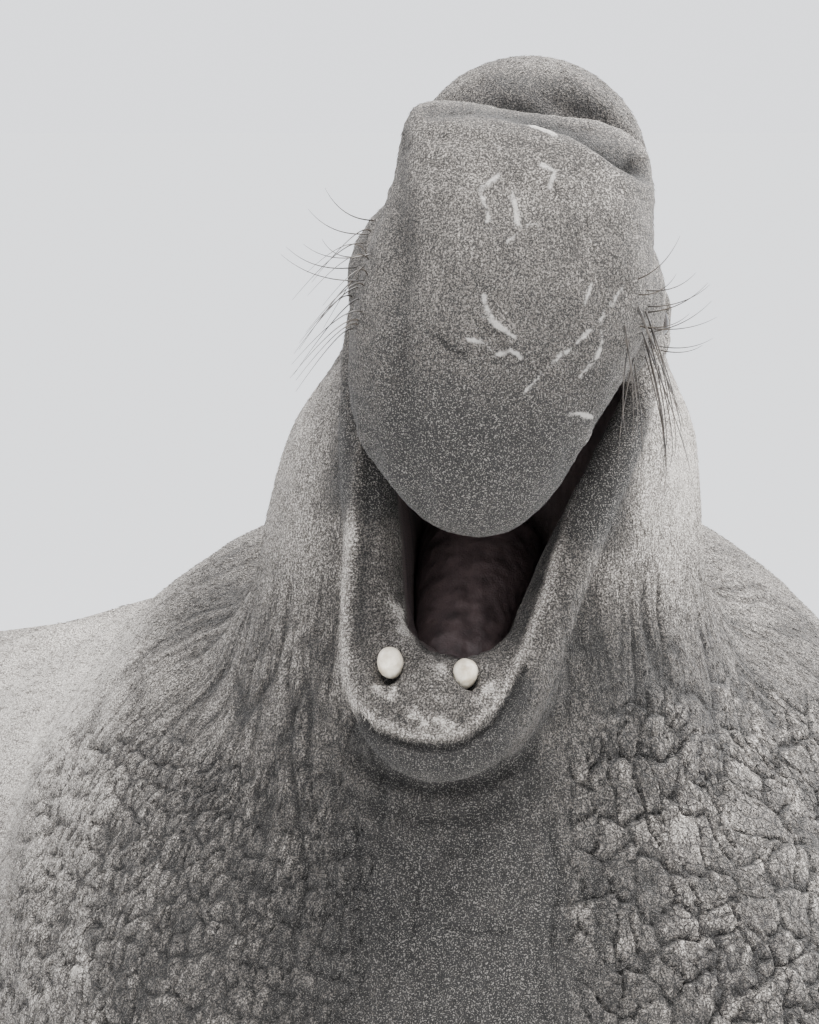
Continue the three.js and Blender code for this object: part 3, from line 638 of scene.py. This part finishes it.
# The lids: a soft rim drawn in round each eye, fuller above it, with a shallow crease outside.
EYE_WAY = (0.86, -0.42, 0.28)
LID_REACH = 0.0270
LID_DRAWN_REACH = 0.0250
LID_CREASE_REACH = 0.0450
LID_LIMIT = 0.08
LID_RISE = 0.0052
LID_CREASE_DEPTH = 0.0028
LID_DRAWN = 0.0050
drawn = np.zeros_like(points)
for name, hand in (("eye_left", 1), ("eye_right", -1)):
    low, high = (np.array(corner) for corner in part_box(name))
    way = np.array((head_turn @ Vector((hand * EYE_WAY[0], *EYE_WAY[1:]))).normalized())
    local = points - (low + high) / 2
    out = local @ way
    off = local - out[:, None] * way
    reach = np.linalg.norm(off, axis=1) + 1e-6
    outer = ease(out, -0.004, 0.006) * (reach < LID_LIMIT)
    full = 1 + 0.6 * ease(off[:, 2], -0.010, 0.020)
    lid_rim, lid_crease = hill(reach, LID_REACH, 0.0070), hill(reach, LID_CREASE_REACH, 0.0070)
    lift += outer * (LID_RISE * lid_rim * full - LID_CREASE_DEPTH * lid_crease)
    drawn -= off / reach[:, None] * (outer * LID_DRAWN * hill(reach, LID_DRAWN_REACH, 0.0080))[:, None]

# The belly stays flat where it rests on the floor.
floor_hold = ease(points[:, 2], 0.0, 0.03)
move_points(skin, points + normals * (lift * floor_hold)[:, None] + drawn)

# Marks that the colours of the coat follow. The mouth's lining ends where its lips are, level by level.
LIP_DEPTH = [(-0.21, 0.168), (-0.166, 0.130), (-0.108, 0.098), (-0.044, 0.070), (0.026, 0.046), (0.13, 0.0)]
MOUTH_WIDTH = [(-0.20, 0.020), (-0.16, 0.052), (-0.09, 0.068), (-0.03, 0.090), (0.03, 0.118), (0.10, 0.135)]
lip_depth = np.interp(u, *zip(*LIP_DEPTH))
mouth_width = np.interp(u, *zip(*MOUTH_WIDTH))
inside = ease(mouth_width + 0.012 - np.abs(r), 0, 0.012) * ease(lip_depth - f, 0, 0.02)
inside *= ease(u, -0.215, -0.205) * ease(-u, -0.15, -0.13) * ease(f, -0.150, -0.132)


def spot_at(side, level, wide, high):
    """A soft oval patch on the near side of the head and neck."""
    near = 1 - ease(depth, 0.12, 0.34)
    return np.exp(-((across - side) / wide) ** 2 - ((height - level) / high) ** 2) * near


MIDDLE_TONE = 0.44
pale = np.full(len(points), MIDDLE_TONE)
cheeks = 0.40 * spot_at(0.200, 0.00, 0.060, 0.17) + 0.30 * spot_at(-0.210, -0.02, 0.06, 0.13)
pale += cheeks * (1 - on_nose)
pale += 0.16 * spot_at(0.15, -0.10, 0.05, 0.10) * (1 - on_nose)
# The nose is painted paler at the top and darker low down. This is partly its own darker, sandy skin below,
# and partly painted light on the top and painted shade on the underside. The hump's face above the crease
# gets painted shade.
nose_tone_and_shade = 0.10 * ease(height, 0.12, 0.30) - 0.24 * ease(-height, -0.16, 0.04)
pale += on_nose * (nose_tone_and_shade - 0.30 * hump_face_shade - 0.05)
# The throat and chest are painted darker. This is partly their own dark, sandy skin and partly painted shade
# where they face down, with a painted shadow of the chin just under it.
pale -= 0.16 * spot_at(-0.04, -0.45, 0.13, 0.20) + 0.14 * spot_at(0.02, -0.30, 0.06, 0.05)
pale -= 0.22 * spot_at(-0.02, -0.40, 0.11, 0.09) + 0.32 * spot_at(-0.02, -0.56, 0.14, 0.12)
pale -= 0.30 * spot_at(0.140, -0.205, 0.075, 0.065) * (1 - on_nose)
# The lower lobe is painted darker still: its own dark skin, with painted shade on its underside.
pale -= 0.28 * spot_at(0.0, -0.01, 0.15, 0.085) * on_nose
pale += 0.07 * spot_at(-0.22, -0.40, 0.10, 0.20) + 0.05 * spot_at(-0.18, -0.22, 0.05, 0.10)
pale += 0.22 * ease(-across, 0.34, 0.44) * (1 - ease(from_head, 0.9, 1.4))
# Each shield plate and each neck scale is painted paler towards its upper side, as a painted highlight. The
# plates' own random tones and the pale scurf are real.
pale += shield * (0.05 + 0.10 * (number - 0.4) + 0.10 * rise) + 0.16 * scales * scale_rise + 0.30 * scurf
pale += 0.20 * ease(-across, 0.22, 0.45) * ease(height, -0.7, -0.2) + 0.14 * ease(depth, 0.1, 0.5)
pale -= 0.10 * ease(-height, 0.55, 0.9) + 0.13 * ease(from_head, 0.55, 1.0)
# The roll under the chin crease is painted darker. This is partly its own dark skin and partly painted shade
# under the chin.
pale += 0.38 * rim + 0.75 * crust - 0.10 * inner_band - 0.42 * chin_roll
pale += gum * (0.06 + 0.08 * gum_bumps)
gritty = 0.30 + 0.70 * on_nose * ease(-height, -0.30, -0.05) + 0.8 * spot_at(-0.03, -0.45, 0.14, 0.20)
# Painted shade in the cracks, wrinkles, creases and folds, together with the lip's own dark inner band and a
# dark scratch.
dark = crack + 0.7 * mid_crack + 0.8 * scale_crack + long_crack + 0.6 * streak + 0.6 * big_streak
dark += 1.5 * crease + chin_cut + 0.6 * throat_cut + 0.30 * inner_band + 0.3 * groove + 0.7 * scratch
marks = {
    "pale": np.clip(pale, 0, 1),
    "dark": np.clip(dark, 0, 1),
    "gritty": np.clip(gritty, 0, 1),
    "lining": inside,
    "scaly": np.clip(shield + 0.6 * scales + 0.25 * on_back, 0, 1),
    "scar": scar,
}
for mark_name, values in marks.items():
    layer = skin.data.attributes.new(mark_name, "FLOAT", "POINT")
    layer.data.foreach_set("value", values.astype(np.float32))

# The plain stretches of the skin are thinned out, and the folded front keeps its detail.
SKIN_FACES = 192000
plain = np.maximum(ease(from_head, 0.50, 0.80), 0.06)
plain = np.where(on_neck > 0.2, np.minimum(plain, 0.10), plain)
set_weights(skin, "plain", plain)
face_total = sum(len(face.vertices) - 2 for face in skin.data.polygons)
modify(skin, "DECIMATE", ratio=SKIN_FACES / face_total, vertex_group="plain", vertex_group_factor=1.0,
       use_collapse_triangulate=True)
skin.vertex_groups.clear()


def coat_finish(name):
    finish = Finish(name)
    pale_mark, crease_shade_and_marks_value = finish.attribute("pale"), finish.attribute("dark")
    gritty_mark, lining_mark = finish.attribute("gritty"), finish.attribute("lining")
    scaly_mark, scar_mark = finish.attribute("scaly"), finish.attribute("scar")
    where = finish.place()
    blotch = finish.noise(where, 15.0, 4.0, 0.6)
    speck = finish.range(finish.noise(where, 560.0, 2.0, 0.7), 0.40, 0.62)
    strokes = finish.noise(finish.place((430, 430, 70)), 1.0, 3.0, 0.75, 0.5)
    edge = finish.cells(finish.warped(0.004, 60.0), 95.0)
    # Fine cracks in the scaly hide. The bump cuts them in, and the colour darkens them with painted shade.
    fine_crack = finish.range(edge, 0.0, 0.10, 1.0, 0.0) * scaly_mark
    tone = pale_mark + (blotch - 0.5) * 0.44 + (strokes - 0.5) * 0.75 - 0.02
    # The cracks, creases and folds are darkened here with painted shade, and the lip band and scratch keep
    # their own dark colour.
    tone = tone + (speck - 0.5) * 0.48 - crease_shade_and_marks_value * 0.50 - fine_crack * 0.22
    fur = finish.ramp(tone, (0.0, (0.006, 0.0052, 0.0045)), (0.30, (0.026, 0.0225, 0.0195)),
                      (0.60, (0.132, 0.116, 0.101)), (1.0, (0.56, 0.52, 0.47)))
    salt = finish.range(finish.noise(where, 760.0, 1.0, 0.5), 0.56, 0.64) * gritty_mark
    fur = finish.blend(salt * 0.50, fur, (0.42, 0.39, 0.355))
    ragged = finish.noise(where, 240.0, 4.0, 0.8)
    scar_line = finish.range(scar_mark + (ragged - 0.5) * 1.1, 0.36, 0.66)
    fur = finish.blend(scar_line * 0.72, fur, (0.56, 0.53, 0.49))
    folds = finish.noise(finish.place((60, 60, 9)), 1.0, 3.0, 0.6)
    flesh = finish.ramp(folds, (0.3, (0.035, 0.025, 0.025)), (0.7, (0.125, 0.090, 0.085)))
    colour = finish.blend(lining_mark, fur, flesh)
    height_map = strokes * 0.55 + speck * 0.45 + salt * 0.5 - fine_crack * 1.1 + scar_line * 0.5
    rough = 0.88 - lining_mark * 0.42
    finish.set(Base_Color=colour, Roughness=rough, Normal=finish.bump(height_map, 0.0026, 1.0))
    return finish.material


coat = coat_finish("coat")
skin.data.materials.append(coat)
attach(skin, "root")
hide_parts(*FLESH)

# Tongue
# A thick dark tongue that lies back between the jaws.
# It is melted from its solid and gently folded along its length, with a groove down the middle.
TONGUE_GRAIN = 0.0035
GROOVE_MIDDLE = -0.020
GROOVE_WIDTH = 0.008
TONGUE_GROOVE_DEPTH = 0.005
tongue = melt(["tongue"], "tongue_flesh", TONGUE_GRAIN)
modify(tongue, "SMOOTH", factor=0.6, iterations=16)
spots = points_of(tongue)
across_tongue = np.column_stack([spots[:, 0], 0.15 * spots[:, 1], 0.15 * spots[:, 2]])
swell = 0.0035 * ripple(across_tongue, 0.022, 81) + 0.0012 * ripple(spots, 0.009, 82)
middle_groove = hill(spots[:, 0] - gape.x - GROOVE_MIDDLE, 0, GROOVE_WIDTH) * TONGUE_GROOVE_DEPTH
move_points(tongue, spots + normals_of(tongue) * (swell - middle_groove)[:, None])
finish = Finish("tongue")
where = finish.place()
patchy = finish.noise(where, 55.0, 4.0)
colour = finish.ramp(patchy, (0.3, (0.035, 0.025, 0.025)), (0.75, (0.125, 0.088, 0.085)))
finish.set(Base_Color=colour, Roughness=0.42, Normal=finish.bump(finish.noise(where, 420.0), 0.0012, 0.6))
tongue.data.materials.append(finish.material)
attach(tongue, "root")
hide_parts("tongue")

# Lower canines
# Two short worn teeth of old ivory that stand out of the gum.
# Each is an egg of slightly pitted enamel with a blunted tip, leant over like the jaw.
TOOTH_RADIUS = 0.0128
TOOTH_HALF = 0.0185
TOOTH_RAISE = 0.010
TOOTH_LEAN = math.radians(40)
TOOTH_SPLAY = math.radians(9)
finish = Finish("ivory")
where = finish.place()
stain = finish.noise(where, 90.0, 4.0, 0.6)
lines = finish.noise(finish.place((500, 500, 60)), 1.0, 3.0)
colour = finish.ramp(stain, (0.30, (0.42, 0.35, 0.25)), (0.62, (0.76, 0.70, 0.58)))
finish.set(Base_Color=colour, Roughness=0.34, Normal=finish.bump(lines, 0.0006, 0.5), Coat_Weight=0.25)
for name, hand in (("lower_canine_left", 1), ("lower_canine_right", -1)):
    low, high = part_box(name)
    bpy.ops.object.select_all(action="DESELECT")
    bpy.ops.mesh.primitive_uv_sphere_add(segments=36, ring_count=24, radius=1, location=(0, 0, 0))
    tooth = bpy.context.object
    tooth.name = f"{name}_ivory"
    spots = points_of(tooth)
    worn = 1 - 0.12 * ease(spots[:, 2], 0.55, 1.0)
    pits = 1 + 0.035 * ripple(spots, 0.45, 85 + hand)
    shape = spots * np.array([TOOTH_RADIUS, TOOTH_RADIUS, TOOTH_HALF]) * (worn * pits)[:, None]
    turn = head_turn @ Matrix.Rotation(TOOTH_LEAN, 3, "X") @ Matrix.Rotation(hand * TOOTH_SPLAY, 3, "Y")
    middle = (low + high) / 2 + Vector((0, 0, TOOTH_RAISE))
    move_points(tooth, shape @ np.array(turn).T + np.array(middle))
    bpy.ops.object.shade_smooth()
    tooth.data.materials.append(finish.material)
    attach(tooth, "root")
    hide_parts(name)

# Eyes
# Large balls, wet and glossy, set deep under the lids, of a nearly black brown with a faint mottle.
# Each is a smooth sphere as large as its solid, sunk a little towards the gape.
finish = Finish("eye_wet")
mottle = finish.noise(finish.place(), 160.0, 3.0)
colour = finish.ramp(mottle, (0.35, (0.004, 0.003, 0.003)), (0.75, (0.020, 0.013, 0.009)))
finish.set(Base_Color=colour, Roughness=0.08, Specular_IOR_Level=0.28)
EYE_SUNK = 0.003
for name in ("eye_left", "eye_right"):
    low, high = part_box(name)
    bpy.ops.object.select_all(action="DESELECT")
    bpy.ops.mesh.primitive_uv_sphere_add(segments=48, ring_count=32, radius=1, location=(0, 0, 0))
    eye = bpy.context.object
    eye.name = f"{name}_ball"
    inward = (gape - (low + high) / 2).normalized() * EYE_SUNK
    size = np.array((high - low) / 2)
    move_points(eye, points_of(eye) * size + np.array((low + high) / 2 + inward))
    bpy.ops.object.shade_smooth()
    eye.data.materials.append(finish.material)
    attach(eye, "root")
    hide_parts(name)

# Nails
# Five dark horny nails on each fore flipper, each a flattened cone with rounded edges, curved down a little.
# A finger has an angle in degrees from the middle of the flipper, and a reach from its wrist.
FINGERS = [(-30, 0.330), (-14, 0.322), (2, 0.296), (18, 0.262), (34, 0.226)]
FINGER_ROOT = 0.070
NAIL_LENGTH = 0.066
NAIL_RADIUS = 0.0145
NAIL_TIP_RADIUS = 0.002
NAIL_OUT = 0.007
NAIL_HEIGHT = 0.041
NAIL_FLAT = 0.62
NAIL_DROP = 0.010
FLIPPER_WRISTS = {
    "left": {"corner": Vector((0.0909, 0.1938)), "turn": 0.8696, "flip": 1},
    "right": {"corner": Vector((0.4304, 0.1850)), "turn": 2.6517, "flip": -1},
}
finish = Finish("horn")
growth = finish.noise(finish.place((420, 420, 420)), 1.0, 3.0)
colour = finish.ramp(growth, (0.3, (0.012, 0.010, 0.009)), (0.75, (0.060, 0.050, 0.042)))
finish.set(Base_Color=colour, Roughness=0.38, Normal=finish.bump(growth, 0.0007, 0.6))
for side, wrist in FLIPPER_WRISTS.items():
    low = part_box(f"fore_flipper_{side}")[0]
    nails = []
    for angle, reach in FINGERS:
        way = math.radians(angle) * wrist["flip"] + wrist["turn"]
        out = FINGER_ROOT * Vector((math.cos(wrist["turn"]), math.sin(wrist["turn"])))
        out += (reach + NAIL_OUT) * Vector((math.cos(way), math.sin(way)))
        bpy.ops.object.select_all(action="DESELECT")
        bpy.ops.mesh.primitive_cone_add(vertices=28, radius1=NAIL_RADIUS, radius2=NAIL_TIP_RADIUS,
                                        depth=NAIL_LENGTH, location=(0, 0, 0))
        nail = bpy.context.object
        modify(nail, "BEVEL", width=0.0018, segments=3, limit_method="ANGLE")
        spots = points_of(nail)
        along = spots[:, 2] / NAIL_LENGTH + 0.5
        outward = along * NAIL_LENGTH - NAIL_LENGTH / 2
        flat = np.column_stack([outward, spots[:, 0], spots[:, 1] * NAIL_FLAT])
        flat[:, 2] -= NAIL_DROP * along ** 2
        turn = Matrix.Rotation(way, 3, "Z")
        nail_place = low.x + wrist["corner"].x + out.x, low.y + wrist["corner"].y + out.y, NAIL_HEIGHT
        move_points(nail, flat @ np.array(turn).T + np.array(nail_place))
        nails.append(nail)
    for nail in nails:
        nail.select_set(True)
    bpy.context.view_layer.objects.active = nails[0]
    bpy.ops.object.join()
    claws = bpy.context.object
    claws.name = f"nails_{side}"
    bpy.ops.object.shade_smooth_by_angle(angle=math.radians(40))
    claws.data.materials.append(finish.material)
    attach(claws, "root")

# Whiskers
# Stiff tapered hairs of dark horn from the pads beside the nose. They curve out to the sides, up or down.
# Each set has the line its roots stand on and the line its tips reach, both across and up from the gape.
WHISKER_SETS = [
    {"roots": [(-0.122, 0.225), (-0.134, 0.125)], "tips": [(-0.176, 0.190), (-0.186, 0.060)],
     "count": 15, "bow": 0.018},
    {"roots": [(-0.120, 0.235), (-0.130, 0.170)], "tips": [(-0.170, 0.262), (-0.192, 0.200)],
     "count": 6, "bow": -0.008},
    {"roots": [(0.140, 0.185), (0.158, 0.105)], "tips": [(0.196, 0.215), (0.206, 0.118)],
     "count": 10, "bow": -0.006},
    {"roots": [(0.146, 0.165), (0.160, 0.100)], "tips": [(0.186, 0.040), (0.168, -0.030)],
     "count": 12, "bow": -0.022},
    {"roots": [(0.120, 0.150), (0.150, 0.090)], "tips": [(0.120, 0.030), (0.150, 0.000)],
     "count": 5, "bow": -0.010},
]
WHISKER_RADIUS = 0.00085
WHISKER_STEPS = 12
WHISKER_TAPER = 0.82
ROOT_SPREAD = 0.007
TIP_SPREAD = 0.020
PROBE_START = 0.6
DEEPEST_ROOT = 0.10
skin_tree = BVHTree.FromObject(skin, bpy.context.evaluated_depsgraph_get())
luck = np.random.default_rng(5)
whisker_shape = bpy.data.curves.new("whiskers", "CURVE")
whisker_shape.dimensions = "3D"
whisker_shape.bevel_depth = WHISKER_RADIUS
whisker_shape.bevel_resolution = 1
whisker_shape.use_fill_caps = True
for group in WHISKER_SETS:
    for i in range(group["count"]):
        share = (i + 0.5) / group["count"]
        root_spot = np.array(group["roots"][0]) * (1 - share) + np.array(group["roots"][1]) * share
        tip_spot = np.array(group["tips"][0]) * (1 - share) + np.array(group["tips"][1]) * share
        root_spot = root_spot + luck.uniform(-ROOT_SPREAD, ROOT_SPREAD, 2)
        tip_spot = tip_spot + luck.uniform(-TIP_SPREAD, TIP_SPREAD, 2)
        start = Vector((gape.x + root_spot[0], gape.y - PROBE_START, gape.z + root_spot[1]))
        hit = skin_tree.ray_cast(start, Vector((0, 1, 0)))[0]
        if hit is None or hit.y > gape.y + DEEPEST_ROOT:
            continue
        spline = whisker_shape.splines.new("POLY")
        spline.points.add(WHISKER_STEPS)
        reach = np.append(tip_spot - root_spot, -0.035 + luck.uniform(-0.02, 0.02))
        for j in range(WHISKER_STEPS + 1):
            t = j / WHISKER_STEPS
            bow = group["bow"] * 4 * t * (1 - t)
            place = (hit.x + reach[0] * t - bow * np.sign(reach[0]) * 0.5, hit.y + 0.002 + reach[2] * t,
                     hit.z + reach[1] * t + bow)
            spline.points[j].co = (*place, 1)
            spline.points[j].radius = 1 - WHISKER_TAPER * t
bpy.ops.object.select_all(action="DESELECT")
whiskers = bpy.data.objects.new("whiskers", whisker_shape)
bpy.context.scene.collection.objects.link(whiskers)
whiskers.select_set(True)
bpy.context.view_layer.objects.active = whiskers
bpy.ops.object.convert(target="MESH")
whiskers = bpy.context.object
whiskers.name = "whiskers"
finish = Finish("whisker")
shade = finish.noise(finish.place(), 60.0)
colour = finish.ramp(shade, (0.35, (0.012, 0.010, 0.009)), (0.7, (0.075, 0.062, 0.050)))
finish.set(Base_Color=colour, Roughness=0.42)
whiskers.data.materials.append(finish.material)
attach(whiskers, "root")

# Fur tufts
# Short stiff hairs over the hide, in small thin tufts that point down in front and backwards on the body.
# They are longest on the trunk, shorter on the neck and shortest on the head, and sparse on the nose.
# Their patches for the baked colours come from a coarse copy of the skin, laid out flat.
UNWRAP_SHARE = 0.08
PATCH_SIZE = 0.0015
TUFT_SINK = 0.0004
TIP_GAIN = 0.05
bpy.ops.object.select_all(action="DESELECT")
unwrap = bpy.data.objects.new("unwrap", skin.data.copy())
bpy.context.scene.collection.objects.link(unwrap)
unwrap.select_set(True)
modify(unwrap, "DECIMATE", ratio=UNWRAP_SHARE)
bpy.ops.object.mode_set(mode="EDIT")
bpy.ops.mesh.select_all(action="SELECT")
bpy.ops.uv.smart_project(angle_limit=math.radians(66), island_margin=0.002)
bpy.ops.object.mode_set(mode="OBJECT")
unwrap_tree = BVHTree.FromObject(unwrap, bpy.context.evaluated_depsgraph_get())
unwrap_uvs = unwrap.data.uv_layers.active.data
corner_total = len(skin.data.polygons) * 3
corners = np.empty(corner_total, int)
skin.data.polygons.foreach_get("vertices", corners)
corners = corners.reshape(-1, 3)
skin_points, skin_normals = points_of(skin), normals_of(skin)
skin_marks = {}
for mark_name in marks:
    values = np.empty(len(skin_points), np.float32)
    skin.data.attributes[mark_name].data.foreach_get("value", values)
    skin_marks[mark_name] = values
middles = skin_points[corners].mean(axis=1)
areas = np.linalg.norm(np.cross(skin_points[corners[:, 1]] - skin_points[corners[:, 0]],
                                skin_points[corners[:, 2]] - skin_points[corners[:, 0]]), axis=1) / 2
gape_spot = np.array(gape)
mid_depth, mid_height = (middles - gape_spot).T[1:]
mid_forward, mid_up = in_head(middles)[1:]
mid_from_head = np.linalg.norm(middles - head_middle, axis=1)
mid_lining = skin_marks["lining"][corners].max(axis=1)
mid_nose = ease(mid_forward, 0.05, 0.09) * ease(mid_up, -0.10, -0.06)
mid_neck = ease(-mid_height, 0.02, 0.12) * (1 - ease(mid_from_head, 0.70, 0.85))


def add_tufts(name, density, count, lengths, width, seed):
    """Tufts at random places on the skin, each a thin closed spike with three sides that lies low."""
    luck = np.random.default_rng(seed)
    chance = areas * density * (mid_lining < 0.05) * (middles[:, 2] > 0.012)
    picked = luck.choice(len(chance), count, p=chance / chance.sum())
    shares = luck.dirichlet((1, 1, 1), count)
    roots = np.einsum("ij,ijk->ik", shares, skin_points[corners[picked]])
    up = np.einsum("ij,ijk->ik", shares, skin_normals[corners[picked]])
    up /= np.linalg.norm(up, axis=1)[:, None]
    local = roots - gape_spot
    back_share = 0.9 * ease(local[:, 1], 0.1, 0.6)
    flow = np.column_stack([0.35 * local[:, 0] / 0.2, 0.30 + back_share, -1.0 + back_share])
    flow += luck.normal(0, 0.22, (count, 3))
    flow -= up * np.sum(flow * up, axis=1)[:, None]
    flow /= np.linalg.norm(flow, axis=1)[:, None] + 1e-6
    side = np.cross(up, flow)
    long = luck.uniform(*lengths, count)[:, None]
    raise_share = luck.uniform(0.10, 0.26, count)[:, None]
    half = width / 2
    base = roots - up * TUFT_SINK
    left = base + side * half
    right = base - side * half
    top = base + up * half * 1.1
    tip = base + flow * long + up * long * raise_share
    verts = np.stack([left, right, top, tip], axis=1).reshape(-1, 3)
    first = np.arange(count)[:, None, None] * 4
    faces = (first + np.array([[0, 2, 1], [0, 1, 3], [1, 2, 3], [2, 0, 3]])).reshape(-1, 3)
    shape = bpy.data.meshes.new(name)
    shape.from_pydata(verts.tolist(), [], faces.tolist())
    piece = bpy.data.objects.new(name, shape)
    bpy.context.scene.collection.objects.link(piece)
    layer = shape.uv_layers.new(name="OFBake")
    patches = np.empty((count, 2))
    for i, root in enumerate(roots):
        face = unwrap_tree.find_nearest(Vector(root))[2]
        loops = unwrap.data.polygons[face].loop_indices
        patches[i] = np.mean([unwrap_uvs[loop].uv for loop in loops], axis=0)
    spread = np.array([(-1, -1), (1, -1), (0, 0), (0, 1)]) * PATCH_SIZE
    flat = (patches[:, None, :] + spread[None]).reshape(-1, 2)
    layer.data.foreach_set("uv", flat[faces.ravel()].astype(np.float32).ravel())
    for mark_name, values in skin_marks.items():
        at_root = np.einsum("ij,ij->i", shares, values[corners[picked]])
        mark = shape.attributes.new(mark_name, "FLOAT", "POINT")
        corner_values = np.repeat(at_root[:, None], 4, axis=1)
        if mark_name == "pale":
            corner_values[:, 3] += TIP_GAIN
        mark.data.foreach_set("value", np.clip(corner_values, 0, 1).astype(np.float32).ravel())
    piece.data.materials.append(coat)
    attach(piece, "root")


head_fur = (1 - 0.75 * mid_nose) * (mid_height > -0.36) * (mid_from_head < 0.52)
body_fur = ease(mid_from_head, 0.55, 0.8) * (1 - 0.6 * ease(mid_depth, 1.2, 2.6))
add_tufts("fur_head", head_fur, 26000, (0.0045, 0.0085), 0.0011, 91)
add_tufts("fur_neck", mid_neck, 30000, (0.0050, 0.0095), 0.0012, 92)
add_tufts("fur_body", body_fur, 40000, (0.007, 0.013), 0.0020, 93)
bpy.data.objects.remove(unwrap)
